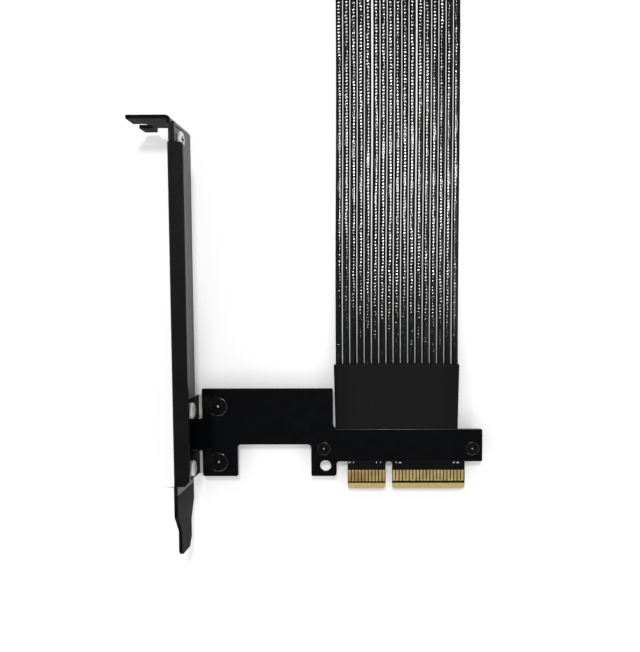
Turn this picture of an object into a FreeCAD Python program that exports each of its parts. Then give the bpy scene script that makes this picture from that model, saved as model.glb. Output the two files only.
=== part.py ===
import FreeCAD, Part
import math
import os

os.makedirs("parts", exist_ok=True)

V = FreeCAD.Vector

# Slot bracket: thin painted sheet, standing on one long edge
BRACKET_T = 1.05
BRACKET_HEIGHT = 120.02
BRACKET_WIDTH = 18.42
BRACKET_INNER_X = -57.5
BRACKET_TOP_Y = 104.3
BEND_INNER_R = 0.4
FLANGE_OUTER_R = 0.45
FLANGE_WIDTH = 4.35
FLANGE_BOTTOM_Y = 4.4
FLANGE_TOP_Y = 97.25
FLANGE_TOP_CHAMFER = 0.7
FLANGE_BOTTOM_CHAMFER = 1.3
RELIEF_WIDTH = 0.3
LIP_WIDTH = 2.1
LIP_TOP_Y = 102.6
FAR_STEP_Y = 17.0
FAR_STEP_Z = 2.9
TONGUE_FAR_Z = 5.8
TONGUE_NEAR_Z = 15.0
TAB_REACH = 10.9
TAB_NARROW_Z = 8.2
TAB_EAR_Z = 3.5
TAB_EAR_LENGTH = 3.7
TAB_EAR_SLOPE = 1.6
TAB_EAR_CORNER = 0.4
SCREW_SLOT_WIDTH = 4.42
SCREW_SLOT_DEPTH = 4.6
SCREW_SLOT_Z = 10.4

# Corner clips: bent plated strip, tapped M3
CLIP_T = 1.5
CLIP_WIDTH = 7.0
CLIP_INNER_R = 1.0
CLIP_UPPER_Y = 24.55
CLIP_LOWER_Y = 8.25
CLIP_TOP_Z = 16.6
CLIP_FOOT_END_X = -45.8

# Mounting plate: sheet lying on the board and on the clip feet
PLATE_T = 1.2
PLATE_BOTTOM_Z = 3.8
PLATE_LEFT_X = -54.2
PLATE_TOP_Y = 29.8
PLATE_BLOCK_RIGHT_X = -16.2
PLATE_STRIP_TOP_Y = 17.86
PLATE_STRIP_BOTTOM_Y = 8.4
PLATE_RIGHT_X = 27.2
PLATE_LEG_BOTTOM_Y = 4.1
PLATE_CUTOUT_LEFT_X = -43.95
PLATE_CUTOUT_RIGHT_X = -22.6
PLATE_CUTOUT_TOP_Y = 13.4
PLATE_HOLE_LEG_RIGHT_X = -15.2
PLATE_TONGUE_BOTTOM_Y = 12.2
PLATE_TONGUE_TOP_Y = 20.6
PLATE_HOLE = (-18.4, 7.15)
PLATE_HOLE_R = 1.6

# Fasteners
CLIP_SCREW_X = -49.6
CLIP_SCREW_HEAD_R = 2.75
BOARD_SCREW_CENTRES = ((-18.8, 12.3), (24.2, 12.3))
BOARD_SCREW_HEAD_R = 1.95
BOARD_SCREW_HEAD_H = 0.9
BRACKET_SCREW_HEAD_R = 2.3
BRACKET_SCREW_HEAD_H = 1.5
BRACKET_SCREW_Z = 12.4
TOP_SCREW_Y = 99.1
TOP_SCREW_Z = 12.4
HEAD_TAPER = 0.82
M3_R = 1.5
M2_R = 1.0

# Edge board: four-lane card edge, one key notch, contacts at a 1.00 mm pitch
BOARD_T = 1.57
BOARD_TOP_Z = PLATE_BOTTOM_Z
EDGE_LEFT_X = -12.05
EDGE_RIGHT_X = 22.2
KEY_WIDTH = 1.9
KEY_DEPTH = 8.25
BEVEL_HEIGHT = 1.8
BEVEL_DEPTH = 0.45
EDGE_CORNER = 0.6
CONTACT_PITCH = 1.0
CONTACT_WIDTH = 0.7
CONTACT_T = 0.05
CONTACT_BOTTOM_Y = 2.3
CONTACT_TOP_Y = 5.65
SHORT_COUNT = 11
LONG_COUNT = 21
FIRST_FROM_KEY = 1.5

# Cable: flat strips side by side between two boots
STRIP_COUNT = 17
STRIP_WIDTH = 1.85
STRIP_T = 1.1
STRIP_CORNER = 0.36
BOOT_PITCH = 2.112
BOOT_FIRST_X = -14.5
LAY_PITCH = 2.082
LAY_FIRST_X = -13.96
GROUP_GAPS = ((5, 0.34), (11, 0.22))
STRIP_Y = (36.5, 62.0, 112.0, 162.0, 211.0, 236.5)
STRIP_Z = (2.5, 2.5, 0.7, 0.62, 2.25, 2.25)
STRIP_LAY = (0.0, 0.0, 1.0, 1.0, 0.0, 0.0)
BOOT_TOP_Z = 4.9
BOOT_R = 0.9

# Far end: small board lying on the floor with an upright four-lane slot
FAR_BOARD_X = (-18.0, 25.0)
FAR_BOARD_Y = (243.0, 266.0)
FAR_BOOT_Y = (236.5, 250.5)
SLOT_CENTRE = (5.0, 258.0)
SLOT_LENGTH = 39.0
SLOT_WIDTH = 7.5
SLOT_HEIGHT = 11.25
GROOVE_WIDTH = 1.75
GROOVE_DEPTH = 8.0
LEAD_T = 0.25
LEAD_WIDTH = 0.5
LEAD_ROOM = 0.33

BRACKET_OUTER_X = BRACKET_INNER_X - BRACKET_T
BRACKET_BOTTOM_Y = BRACKET_TOP_Y - BRACKET_HEIGHT
TAB_END_X = BRACKET_OUTER_X - TAB_REACH
PLATE_TOP_Z = PLATE_BOTTOM_Z + PLATE_T
BOARD_BOTTOM_Z = BOARD_TOP_Z - BOARD_T
ORIGIN = V((TAB_END_X + PLATE_RIGHT_X) / 2, (BRACKET_TOP_Y + BRACKET_BOTTOM_Y) / 2, 0)


def box(x0, x1, y0, y1, z0, z1):
    return Part.makeBox(x1 - x0, y1 - y0, z1 - z0, V(x0, y0, z0))


def prism(points, direction):
    face = Part.Face(Part.makePolygon(points + [points[0]]))
    return face.extrude(direction)


def rod(radius, base, direction, length):
    return Part.makeCylinder(radius, length, base, direction)


def edges_along(shape, axis, test):
    picked = []
    for edge in shape.Edges:
        if len(edge.Vertexes) != 2:
            continue
        a = edge.Vertexes[0].Point
        b = edge.Vertexes[1].Point
        run = b - a
        if run.Length > 1e-6 and abs(run.dot(axis)) / run.Length > 0.999 and test((a + b) * 0.5):
            picked.append(edge)
    return picked


def round_corners(shape, corners, radius):
    # rounds upright corners of a flat sheet at the given places in plan
    def near(p):
        return any(abs(p.x - x) < 0.05 and abs(p.y - y) < 0.05 for x, y in corners)
    return shape.makeFillet(radius, edges_along(shape, V(0, 0, 1), near))


def export(name, solids):
    shape = solids[0] if len(solids) == 1 else Part.makeCompound(solids)
    shape = shape.copy()
    shape.translate(ORIGIN * -1)
    shape.exportStep("parts/" + name + ".step")
    print(name, len(solids), "solid(s), volume", round(sum(s.Volume for s in solids), 2))


def bend(outer_corner, first, second, run_first, run_second, outer_r, thickness, width):
    # bent sheet: two legs from a rounded corner, swept across the given width
    k = math.sqrt(0.5)
    inner_r = outer_r - thickness
    centre = outer_corner + first * outer_r + second * outer_r
    diagonal = (first + second) * (-k)
    a0 = outer_corner + first * run_first
    a1 = outer_corner + first * outer_r
    b1 = outer_corner + second * outer_r
    b0 = outer_corner + second * run_second
    edges = [
        Part.makeLine(a0, a1),
        Part.Arc(a1, centre + diagonal * outer_r, b1).toShape(),
        Part.makeLine(b1, b0),
        Part.makeLine(b0, b0 + first * thickness),
        Part.makeLine(b0 + first * thickness, b1 + first * thickness),
        Part.Arc(b1 + first * thickness, centre + diagonal * inner_r, a1 + second * thickness).toShape(),
        Part.makeLine(a1 + second * thickness, a0 + second * thickness),
        Part.makeLine(a0 + second * thickness, a0),
    ]
    return Part.Face(Part.Wire(edges)).extrude(width)


# Slot bracket


def slot_bracket():
    xo = BRACKET_OUTER_X
    top = BRACKET_TOP_Y
    foot = BRACKET_BOTTOM_Y
    bend_r = BEND_INNER_R + BRACKET_T
    outline = [
        (top - bend_r, 0.0),
        (FAR_STEP_Y + 2.0, 0.0),
        (FAR_STEP_Y, FAR_STEP_Z),
        (-2.8, FAR_STEP_Z),
        (-8.0, TONGUE_FAR_Z),
        (foot + 2.6, TONGUE_FAR_Z),
        (foot, TONGUE_FAR_Z + 2.0),
        (foot, TONGUE_NEAR_Z - 0.9),
        (foot + 0.9, TONGUE_NEAR_Z),
        (-9.0, TONGUE_NEAR_Z),
        (-4.0, BRACKET_WIDTH),
        (top - bend_r, BRACKET_WIDTH),
    ]
    strip = prism([V(xo, y, z) for y, z in outline], V(BRACKET_T, 0, 0))
    # the near edge is folded in: a wide stiffening flange with a sharp fold, then a narrow lip up to the tab
    fold_z = BRACKET_WIDTH - bend_r
    lip_y = FLANGE_TOP_Y + RELIEF_WIDTH
    strip = strip.cut(box(xo - 1, xo + 2, FLANGE_BOTTOM_Y, LIP_TOP_Y, fold_z, BRACKET_WIDTH + 1))
    strip = strip.cut(box(xo - 1, xo + 2, FLANGE_TOP_Y, lip_y, fold_z - 0.3, BRACKET_WIDTH))
    corner = V(xo, lip_y, BRACKET_WIDTH)
    lip_run = V(0, LIP_TOP_Y - lip_y, 0)
    lip = bend(corner, V(0, 0, -1), V(1, 0, 0), bend_r + 1, LIP_WIDTH, bend_r, BRACKET_T, lip_run)
    free_x = xo + FLANGE_WIDTH
    flange = box(xo, free_x, FLANGE_BOTTOM_Y, FLANGE_TOP_Y, BRACKET_WIDTH - BRACKET_T, BRACKET_WIDTH)
    wall = box(xo, BRACKET_INNER_X, FLANGE_BOTTOM_Y, FLANGE_TOP_Y, fold_z - 1, BRACKET_WIDTH)
    flange = flange.fuse(wall).removeSplitter()
    fold = edges_along(flange, V(0, 1, 0), lambda p: abs(p.x - xo) < 0.01 and p.z > BRACKET_WIDTH - 0.01)
    flange = flange.makeFillet(FLANGE_OUTER_R, fold)
    root = edges_along(flange, V(0, 1, 0), lambda p: abs(p.x - BRACKET_INNER_X) < 0.01 and p.z > fold_z)
    flange = flange.makeFillet(BEND_INNER_R, root)
    flange_ends = ((FLANGE_BOTTOM_Y, FLANGE_BOTTOM_CHAMFER, 1), (FLANGE_TOP_Y, FLANGE_TOP_CHAMFER, -1))
    for y, size, sign in flange_ends:
        z = BRACKET_WIDTH - 2
        corner_cut = [V(free_x - size, y, z), V(free_x + 1, y, z), V(free_x + 1, y + sign * (size + 1), z)]
        corner_cut.append(V(free_x, y + sign * size, z))
        flange = flange.cut(prism(corner_cut, V(0, 0, 4)))
    flange = flange.fuse(lip)
    # mounting tab folded outward at the top
    corner = V(BRACKET_INNER_X, top, 0)
    reach = BRACKET_T + TAB_REACH
    tab = bend(corner, V(0, -1, 0), V(-1, 0, 0), bend_r + 1, reach, bend_r, BRACKET_T, V(0, 0, BRACKET_WIDTH))
    ear_x = TAB_END_X + TAB_EAR_LENGTH
    hip_x = xo - BEND_INNER_R - 0.6
    trim = [(hip_x, -1.0), (hip_x - 1.2, TAB_NARROW_Z), (ear_x + TAB_EAR_SLOPE, TAB_NARROW_Z)]
    trim += [(ear_x, TAB_EAR_Z)]
    blunt_z = TAB_EAR_Z + TAB_EAR_CORNER
    trim += [(TAB_END_X + TAB_EAR_CORNER, TAB_EAR_Z), (TAB_END_X, blunt_z), (TAB_END_X - 1, blunt_z)]
    trim += [(TAB_END_X - 1, -1.0)]
    tab = tab.cut(prism([V(x, top - 3, z) for x, z in trim], V(0, 6, 0)))
    slot_r = SCREW_SLOT_WIDTH / 2
    slot_x = TAB_END_X + SCREW_SLOT_DEPTH - slot_r
    tab = tab.cut(rod(slot_r, V(slot_x, top - 3, SCREW_SLOT_Z), V(0, 1, 0), 6))
    tab = tab.cut(box(TAB_END_X - 1, slot_x, top - 3, top + 3, SCREW_SLOT_Z - slot_r, SCREW_SLOT_Z + slot_r))
    shape = strip.fuse(flange).fuse(tab).removeSplitter()
    holes = ((CLIP_UPPER_Y, BRACKET_SCREW_Z), (CLIP_LOWER_Y, BRACKET_SCREW_Z), (TOP_SCREW_Y, TOP_SCREW_Z))
    for y, z in holes:
        shape = shape.cut(rod(M3_R, V(xo - 1, y, z), V(1, 0, 0), 3))
    export("slot_bracket", [shape])


# Corner clips


def corner_clip(name, centre_y):
    y0 = centre_y - CLIP_WIDTH / 2
    corner = V(BRACKET_INNER_X, y0, PLATE_BOTTOM_Z - CLIP_T)
    rise = CLIP_TOP_Z - corner.z
    reach = CLIP_FOOT_END_X - BRACKET_INNER_X
    outer_r = CLIP_INNER_R + CLIP_T
    clip = bend(corner, V(0, 0, 1), V(1, 0, 0), rise, reach, outer_r, CLIP_T, V(0, CLIP_WIDTH, 0))
    clip = clip.cut(rod(M3_R + 0.1, V(BRACKET_INNER_X - 1, centre_y, BRACKET_SCREW_Z), V(1, 0, 0), 4))
    clip = clip.cut(rod(M3_R, V(CLIP_SCREW_X, centre_y, 0), V(0, 0, 1), 5))
    ends = edges_along(clip, V(1, 0, 0), lambda p: p.z > CLIP_TOP_Z - 0.01)
    clip = clip.makeFillet(1.2, ends)
    export(name, [clip])


# Mounting plate


def mounting_plate():
    z = PLATE_BOTTOM_Z
    low = PLATE_LEG_BOTTOM_Y
    left = PLATE_LEFT_X
    wall = BRACKET_INNER_X
    outline = [
        (left, low),
        (PLATE_CUTOUT_LEFT_X, low),
        (PLATE_CUTOUT_LEFT_X, PLATE_CUTOUT_TOP_Y),
        (PLATE_CUTOUT_RIGHT_X, PLATE_CUTOUT_TOP_Y),
        (PLATE_CUTOUT_RIGHT_X, low),
        (PLATE_HOLE_LEG_RIGHT_X, low),
        (PLATE_HOLE_LEG_RIGHT_X, PLATE_STRIP_BOTTOM_Y),
        (PLATE_RIGHT_X, PLATE_STRIP_BOTTOM_Y),
        (PLATE_RIGHT_X, PLATE_STRIP_TOP_Y),
        (PLATE_BLOCK_RIGHT_X, PLATE_STRIP_TOP_Y),
        (PLATE_BLOCK_RIGHT_X, PLATE_TOP_Y),
        (left, PLATE_TOP_Y),
        (left, PLATE_TONGUE_TOP_Y),
        (wall, PLATE_TONGUE_TOP_Y),
        (wall, PLATE_TONGUE_BOTTOM_Y),
        (left, PLATE_TONGUE_BOTTOM_Y),
    ]
    plate = prism([V(x, y, z) for x, y in outline], V(0, 0, PLATE_T))
    plate = round_corners(plate, [(PLATE_BLOCK_RIGHT_X, PLATE_STRIP_TOP_Y)], 1.5)
    inner = [(PLATE_CUTOUT_LEFT_X, PLATE_CUTOUT_TOP_Y), (PLATE_CUTOUT_RIGHT_X, PLATE_CUTOUT_TOP_Y)]
    plate = round_corners(plate, inner, 1.0)
    soft = [(PLATE_HOLE_LEG_RIGHT_X, low), (PLATE_HOLE_LEG_RIGHT_X, PLATE_STRIP_BOTTOM_Y)]
    plate = round_corners(plate, soft, 0.9)
    outer = [(left, low), (PLATE_CUTOUT_LEFT_X, low), (PLATE_CUTOUT_RIGHT_X, low), (left, PLATE_TOP_Y)]
    outer += [(PLATE_BLOCK_RIGHT_X, PLATE_TOP_Y), (PLATE_RIGHT_X, PLATE_STRIP_TOP_Y)]
    outer += [(PLATE_RIGHT_X, PLATE_STRIP_BOTTOM_Y)]
    plate = round_corners(plate, outer, 0.5)
    plate = plate.cut(rod(PLATE_HOLE_R, V(PLATE_HOLE[0], PLATE_HOLE[1], z - 1), V(0, 0, 1), 4))
    for y in (CLIP_UPPER_Y, CLIP_LOWER_Y):
        plate = plate.cut(countersink(V(CLIP_SCREW_X, y, PLATE_TOP_Z)))
        plate = plate.cut(rod(M3_R + 0.1, V(CLIP_SCREW_X, y, z - 1), V(0, 0, 1), 3))
    for x, y in BOARD_SCREW_CENTRES:
        plate = plate.cut(rod(M2_R + 0.1, V(x, y, z - 1), V(0, 0, 1), 4))
    export("mounting_plate", [plate])


def countersink(top):
    depth = CLIP_SCREW_HEAD_R - M3_R - 0.1
    return Part.makeCone(CLIP_SCREW_HEAD_R, M3_R + 0.1, depth, top, V(0, 0, -1))


# Fasteners


def pan_head(seat, outward, radius, height):
    return Part.makeCone(radius, radius * HEAD_TAPER, height, seat, outward)


def clip_to_plate_screws():
    screws = []
    for y in (CLIP_UPPER_Y, CLIP_LOWER_Y):
        top = V(CLIP_SCREW_X, y, PLATE_TOP_Z)
        head = countersink(top)
        shank = rod(M3_R, top, V(0, 0, -1), PLATE_TOP_Z - 1.2)
        screws.append(head.fuse(shank).removeSplitter())
    export("clip_to_plate_screws", screws)


def board_screws():
    screws = []
    for x, y in BOARD_SCREW_CENTRES:
        seat = V(x, y, PLATE_TOP_Z)
        head = pan_head(seat, V(0, 0, 1), BOARD_SCREW_HEAD_R, BOARD_SCREW_HEAD_H)
        screws.append(head.fuse(rod(M2_R, seat, V(0, 0, -1), PLATE_TOP_Z - 0.4)))
    export("board_screws", screws)


def board_nuts():
    nuts = []
    for x, y in BOARD_SCREW_CENTRES:
        points = []
        for i in range(6):
            a = math.radians(60 * i)
            points.append(V(x + 2.31 * math.cos(a), y + 2.31 * math.sin(a), BOARD_BOTTOM_Z))
        nut = prism(points, V(0, 0, -1.6))
        nuts.append(nut.cut(rod(M2_R, V(x, y, BOARD_BOTTOM_Z - 2), V(0, 0, 1), 3)))
    export("board_nuts", nuts)


def bracket_screw(seat, length):
    # pan head on the inner side, shank through to the outer side
    out = V(1, 0, 0)
    head = pan_head(seat, out, BRACKET_SCREW_HEAD_R, BRACKET_SCREW_HEAD_H)
    return head.fuse(rod(M3_R, seat, out * -1, length))


def bracket_screws():
    seat_x = BRACKET_INNER_X + CLIP_T
    screws = []
    for y in (CLIP_UPPER_Y, CLIP_LOWER_Y):
        screws.append(bracket_screw(V(seat_x, y, BRACKET_SCREW_Z), CLIP_T + BRACKET_T + 0.5))
    export("clip_to_bracket_screws", screws)
    top = bracket_screw(V(BRACKET_INNER_X, TOP_SCREW_Y, TOP_SCREW_Z), BRACKET_T + 0.5)
    export("bracket_top_screw", [top])


# Edge board and its contacts


def edge_board():
    z = BOARD_BOTTOM_Z
    c = EDGE_CORNER
    k = KEY_WIDTH / 2
    outline = [
        (EDGE_LEFT_X + c, 0.0), (-k - c, 0.0), (-k, c), (-k, KEY_DEPTH - k),
        (k, KEY_DEPTH - k), (k, c), (k + c, 0.0), (EDGE_RIGHT_X - c, 0.0),
        (EDGE_RIGHT_X, c), (EDGE_RIGHT_X, 9.4), (26.4, 9.4), (26.4, 17.6),
        (19.2, 17.6), (19.2, 25.0), (-14.6, 25.0), (-14.6, 17.6),
        (-21.6, 17.6), (-21.6, 9.4), (EDGE_LEFT_X, 9.4), (EDGE_LEFT_X, c),
    ]
    board = prism([V(x, y, z) for x, y in outline], V(0, 0, BOARD_T))
    board = board.cut(rod(k, V(0, KEY_DEPTH - k, z - 1), V(0, 0, 1), 4))
    for face_z, sign in ((BOARD_TOP_Z, -1), (BOARD_BOTTOM_Z, 1)):
        wedge = [(-1.0, face_z - sign * 1.0), (-1.0, face_z + sign * BEVEL_DEPTH)]
        wedge += [(0.0, face_z + sign * BEVEL_DEPTH), (BEVEL_HEIGHT, face_z)]
        wedge += [(BEVEL_HEIGHT, face_z - sign * 1.0)]
        across = V(EDGE_RIGHT_X - EDGE_LEFT_X + 2, 0, 0)
        board = board.cut(prism([V(EDGE_LEFT_X - 1, y, h) for y, h in wedge], across))
    for x, y in BOARD_SCREW_CENTRES:
        board = board.cut(rod(M2_R + 0.1, V(x, y, z - 1), V(0, 0, 1), 4))
    export("edge_board", [board])


def contact_places():
    short = [-FIRST_FROM_KEY - i * CONTACT_PITCH for i in range(SHORT_COUNT)]
    long = [FIRST_FROM_KEY + i * CONTACT_PITCH for i in range(LONG_COUNT)]
    return short[::-1] + long


def edge_contacts(name, z):
    half = CONTACT_WIDTH / 2
    pads = []
    for x in contact_places():
        pads.append(box(x - half, x + half, CONTACT_BOTTOM_Y, CONTACT_TOP_Y, z, z + CONTACT_T))
    export(name, pads)


# Cable


def cable_boot():
    # sleeve over the cable end of the board, slightly wider where the strips leave
    y0 = PLATE_STRIP_TOP_Y
    y1 = STRIP_Y[0]
    outline = [(-14.6, y0), (20.1, y0), (20.55, y1), (-15.9, y1), (-15.65, y0 + 1.5)]
    boot = prism([V(x, y, 0) for x, y in outline], V(0, 0, BOOT_TOP_Z))
    long_edges = edges_along(boot, V(0, 1, 0), lambda p: p.y > y0 + 2)
    boot = boot.makeFillet(BOOT_R, long_edges)
    pocket = box(-14.6, 19.2, 17.0, 25.0, BOARD_BOTTOM_Z, BOARD_TOP_Z)
    export("cable_boot", [boot.cut(pocket)])


def lay_x(i):
    x = LAY_FIRST_X + i * LAY_PITCH
    for after, gap in GROUP_GAPS:
        if i >= after:
            x += gap
    return x


def strip_points(i):
    at_boot = BOOT_FIRST_X + i * BOOT_PITCH
    points = []
    for y, z, lay in zip(STRIP_Y, STRIP_Z, STRIP_LAY):
        points.append(V(at_boot + (lay_x(i) - at_boot) * lay, y, z))
    return points


def rounded_path(points):
    # straight runs joined by tangent arcs
    edges = []
    radii = []
    start = points[0]
    for before, corner, after in zip(points, points[1:], points[2:]):
        back = before - corner
        ahead = after - corner
        cut = 0.45 * min(back.Length, ahead.Length)
        back.normalize()
        ahead.normalize()
        half_turn = (math.pi - back.getAngle(ahead)) / 2
        radius = cut / math.tan(half_turn)
        radii.append(radius)
        a = corner + back * cut
        b = corner + ahead * cut
        inward = back + ahead
        inward.normalize()
        middle = corner + inward * (radius / math.cos(half_turn) - radius)
        edges.append(Part.makeLine(start, a))
        edges.append(Part.Arc(a, middle, b).toShape())
        start = b
    edges.append(Part.makeLine(start, points[-1]))
    return Part.Wire(edges), radii


def strip_section(centre):
    # flat strip with blunted upper corners, square to the cable
    w = STRIP_WIDTH / 2
    h = STRIP_T / 2
    c = STRIP_CORNER
    corners = [(w - c, h), (w, h - c), (w, -h), (-w, -h), (-w, h - c), (c - w, h)]
    points = [centre + V(x, 0, z) for x, z in corners]
    return Part.Face(Part.makePolygon(points + [points[0]]))


def cable_strips():
    for i in range(STRIP_COUNT):
        points = strip_points(i)
        path, radii = rounded_path(points)
        section = strip_section(points[0])
        strip = path.makePipe(section)
        print("strip", i + 1, "length", round(path.Length, 2), "radii", [round(r) for r in radii],
              "section x length", round(section.Area * path.Length, 2))
        export("cable_strip_%02d" % (i + 1), [strip])


# Far end


def far_boot():
    y0, y1 = FAR_BOOT_Y
    boot = box(-15.9, 20.55, y0, y1, 0, 4.2)
    top = edges_along(boot, V(0, 1, 0), lambda p: p.z > 4)
    top += edges_along(boot, V(1, 0, 0), lambda p: p.z > 4)
    boot = boot.makeFillet(BOOT_R, top)
    export("far_boot", [boot.cut(box(FAR_BOARD_X[0], FAR_BOARD_X[1], FAR_BOARD_Y[0], 300, -1, BOARD_T))])


def far_board():
    board = box(FAR_BOARD_X[0], FAR_BOARD_X[1], FAR_BOARD_Y[0], FAR_BOARD_Y[1], 0, BOARD_T)
    corners = [(x, FAR_BOARD_Y[1]) for x in FAR_BOARD_X]
    export("far_board", [round_corners(board, corners, 1.5)])


def slot_housing():
    cx, cy = SLOT_CENTRE
    x0 = cx - SLOT_LENGTH / 2
    x1 = cx + SLOT_LENGTH / 2
    w = SLOT_WIDTH / 2
    base = BOARD_T + LEAD_ROOM
    top = BOARD_T + SLOT_HEIGHT
    body = box(x0, x1, cy - w, cy + w, base, top)
    body = body.makeFillet(0.6, edges_along(body, V(0, 0, 1), lambda p: True))
    for x in (x0 + 0.6, x1 - 2.1):
        body = body.fuse(box(x, x + 1.5, cy - 2.5, cy + 2.5, BOARD_T, base))
    g = GROOVE_WIDTH / 2
    floor = top - GROOVE_DEPTH
    cuts = []
    for gx0, gx1 in ((EDGE_LEFT_X - 0.15, -0.85), (0.85, EDGE_RIGHT_X + 0.15)):
        cuts.append(box(gx0, gx1, cy - g, cy + g, floor, top + 1))
        mouth = [(-g, top - 0.6), (g, top - 0.6), (g + 0.6, top), (-g - 0.6, top)]
        cuts.append(prism([V(gx0, cy + y, z) for y, z in mouth], V(gx1 - gx0, 0, 0)))
        # a long recess each side of the groove holds a row of contacts
        for y in (cy - 2.6, cy + 0.5):
            cuts.append(box(gx0 + 0.3, gx1 - 0.3, y, y + 2.1, base - 1, top - 1.2))
    body = body.cut(cuts)
    export("slot_housing", [body.removeSplitter()])


def slot_contacts(name, side):
    # bent spring leads: a foot on the board, an arm leaning into the groove
    cy = SLOT_CENTRE[1]
    t = LEAD_T
    foot = BOARD_T
    tip = foot + 8.6
    profile = [(4.9, foot), (2.2, foot), (0.62, tip), (0.62 + t, tip), (2.2 + t, foot + t), (4.9, foot + t)]
    leads = []
    for x in contact_places():
        points = [V(x - LEAD_WIDTH / 2, cy + side * y, z) for y, z in profile]
        leads.append(prism(points, V(LEAD_WIDTH, 0, 0)))
    export(name, leads)


slot_bracket()
corner_clip("upper_corner_clip", CLIP_UPPER_Y)
corner_clip("lower_corner_clip", CLIP_LOWER_Y)
bracket_screws()
mounting_plate()
clip_to_plate_screws()
edge_board()
edge_contacts("edge_contacts_front", BOARD_TOP_Z)
edge_contacts("edge_contacts_back", BOARD_BOTTOM_Z - CONTACT_T)
board_screws()
board_nuts()
cable_boot()
cable_strips()
far_boot()
far_board()
slot_housing()
slot_contacts("slot_contacts_near_row", -1)
slot_contacts("slot_contacts_far_row", 1)
print("origin from the key", ORIGIN)
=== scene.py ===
import bpy
import math
import numpy as np
from mathutils import Matrix, Vector


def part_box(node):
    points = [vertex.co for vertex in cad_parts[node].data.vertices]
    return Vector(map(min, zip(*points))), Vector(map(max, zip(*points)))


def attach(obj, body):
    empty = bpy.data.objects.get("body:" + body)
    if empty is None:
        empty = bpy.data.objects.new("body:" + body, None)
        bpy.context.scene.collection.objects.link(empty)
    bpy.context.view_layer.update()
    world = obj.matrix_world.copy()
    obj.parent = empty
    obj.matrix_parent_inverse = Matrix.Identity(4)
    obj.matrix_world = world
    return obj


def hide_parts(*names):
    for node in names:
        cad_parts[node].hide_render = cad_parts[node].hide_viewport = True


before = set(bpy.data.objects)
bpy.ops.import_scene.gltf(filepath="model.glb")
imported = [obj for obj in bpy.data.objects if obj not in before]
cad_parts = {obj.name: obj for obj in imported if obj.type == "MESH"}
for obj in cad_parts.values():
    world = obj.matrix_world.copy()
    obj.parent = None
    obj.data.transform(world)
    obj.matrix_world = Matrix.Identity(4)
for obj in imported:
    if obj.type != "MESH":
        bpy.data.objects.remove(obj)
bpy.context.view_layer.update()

# Slot bracket
# One strip of thin steel sheet, punched, folded in along its near edge and out at the tab.
# It is powder coated black, with a fine pebbled skin, and its cut edges are softly rounded.
# The tab and the tongue get a copy of the coat with less reflection, as painted shade.
MM = 0.001
BRACKET_EDGE = 0.12 * MM
SHARP = math.radians(32)
BOARD_LEFT = 21.6 * MM
TAB_TOP = 102.9 * MM
TONGUE_TOP = 2.0 * MM
TONE_RANGE = (0.3, 0.7)
PAINT = ((0.0046, 0.0046, 0.0047, 1.0), (0.0072, 0.0072, 0.0073, 1.0))

board_low, board_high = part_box("edge_board")
key_x = board_low.x + BOARD_LEFT
edge_y = board_low.y


def at(x, y, z):
    """A point given in millimetres from the key notch, the card edge and the floor."""
    return Vector((key_x + x * MM, edge_y + y * MM, z * MM))


def alone(piece):
    """Makes one object the only selected one, and active."""
    bpy.ops.object.select_all(action="DESELECT")
    bpy.context.view_layer.objects.active = piece
    piece.select_set(True)


def whole_faces(node, name):
    """A new piece with a node's outline, its loose triangles joined into whole faces."""
    piece = bpy.data.objects.new(name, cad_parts[node].data.copy())
    piece.data.name = name
    bpy.context.scene.collection.objects.link(piece)
    alone(piece)
    bpy.ops.mesh.customdata_custom_splitnormals_clear()
    bpy.ops.object.mode_set(mode="EDIT")
    bpy.ops.mesh.select_all(action="SELECT")
    bpy.ops.mesh.remove_doubles(threshold=0.0005 * MM)
    bpy.ops.mesh.dissolve_limited(angle_limit=math.radians(0.5))
    bpy.ops.object.mode_set(mode="OBJECT")
    return piece


def apply_modifier(piece, kind, **settings):
    """Gives a piece one modifier with these settings, and applies it."""
    alone(piece)
    modifier = piece.modifiers.new(kind.title(), kind)
    for label, value in settings.items():
        setattr(modifier, label, value)
    bpy.ops.object.modifier_apply(modifier=modifier.name)


def break_edges(piece, width, segments=2):
    """Rounds every sharp edge a little, within the piece's own outline, and shades the flats flat."""
    places = np.array([v.co for v in piece.data.vertices])
    low, high = places.min(axis=0), places.max(axis=0)
    apply_modifier(piece, "BEVEL", width=width, segments=segments, limit_method="ANGLE",
                   angle_limit=SHARP, use_clamp_overlap=False)
    for vertex in piece.data.vertices:
        vertex.co = np.clip(vertex.co, low, high)
    bpy.ops.object.shade_smooth_by_angle(angle=SHARP)
    apply_modifier(piece, "WEIGHTED_NORMAL", keep_sharp=True)


def dress(piece, material, slot, *nodes):
    """Gives a piece its finish and its place on the object. The slot argument is not used."""
    piece.data.materials.clear()
    piece.data.materials.append(material)
    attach(piece, "root")
    if nodes:
        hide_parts(*nodes)
    return piece


def effect(name, inputs, outputs):
    """An empty shader node group with named sockets, and its in and out nodes."""
    group = bpy.data.node_groups.new(name, "ShaderNodeTree")
    for label, value in inputs:
        socket = group.interface.new_socket(label, in_out="INPUT", socket_type="NodeSocketFloat")
        socket.default_value = value
    for label in outputs:
        group.interface.new_socket(label, in_out="OUTPUT", socket_type="NodeSocketFloat")
    return group, group.nodes.new("NodeGroupInput"), group.nodes.new("NodeGroupOutput")


def calc(tree, operation, *values):
    """A Math node whose inputs are numbers or sockets; returns its output."""
    node = tree.nodes.new("ShaderNodeMath")
    node.operation = operation
    for socket, value in zip(node.inputs, values):
        if isinstance(value, bpy.types.NodeSocket):
            tree.links.new(value, socket)
        else:
            socket.default_value = value
    return node.outputs[0]


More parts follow.
